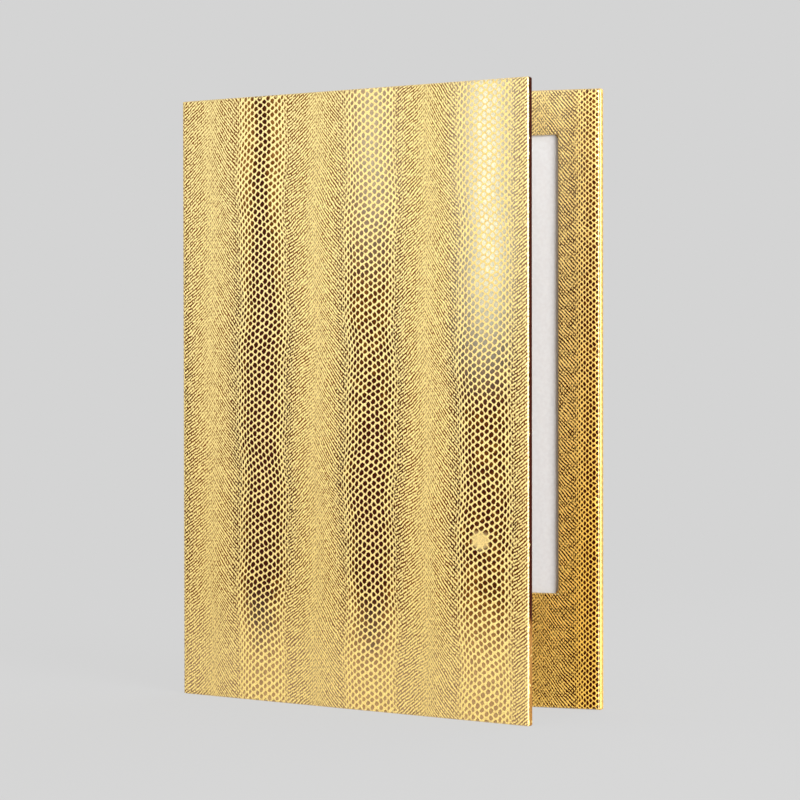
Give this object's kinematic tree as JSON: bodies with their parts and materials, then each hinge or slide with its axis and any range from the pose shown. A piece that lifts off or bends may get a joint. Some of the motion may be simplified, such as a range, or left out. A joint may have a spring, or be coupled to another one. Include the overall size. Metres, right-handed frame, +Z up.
{
  "type": "menu cover",
  "caption": "Two-panel menu cover of embossed gold leatherette over board, hinged at a soft spine, with a window frame that holds a menu sheet inside the back cover.",
  "frame": {"origin": "middle of the bottom of the object's box, on the surface that the cover stands on", "axes": "+Z up along the spine, +X from the spine to the fore-edge along the back cover, +Y out of the back cover's outside face"},
  "size_m": [0.2514, 0.0876, 0.343],
  "materials": {
    "cover_leatherette": "metallic gold leatherette with an embossed scale pattern, semi-gloss",
    "frame_leatherette": "metallic gold leatherette with an embossed scale pattern, semi-gloss",
    "grey_board": "plain grey board, matte",
    "lining_paper": "plain gold-brown lining, satin",
    "menu_paper": "plain warm white paper, matte"
  },
  "bodies": {
    "back_cover": {"back_leatherette": "cover_leatherette", "back_board": "grey_board", "back_lining": "lining_paper", "insert_sheet": "menu_paper", "frame_leatherette": "frame_leatherette", "frame_board": "grey_board"},
    "spine": {"spine_leatherette": "cover_leatherette", "spine_lining": "lining_paper"},
    "front_cover": {"front_leatherette": "cover_leatherette", "front_board": "grey_board", "front_lining": "lining_paper"}
  },
  "joints": [
    {"name": "back_hinge", "type": "hinge", "parent": "back_cover", "child": "spine", "pos_m": [-0.12378, 0.04351, 0.1715], "axis": [0, 0, -1], "range_deg": [-8.85, 81.15]},
    {"name": "front_hinge", "type": "hinge", "parent": "spine", "child": "front_cover", "pos_m": [-0.12556, 0.03205, 0.1715], "axis": [0, 0, -1], "range_deg": [-8.85, 81.15]}
  ]
}
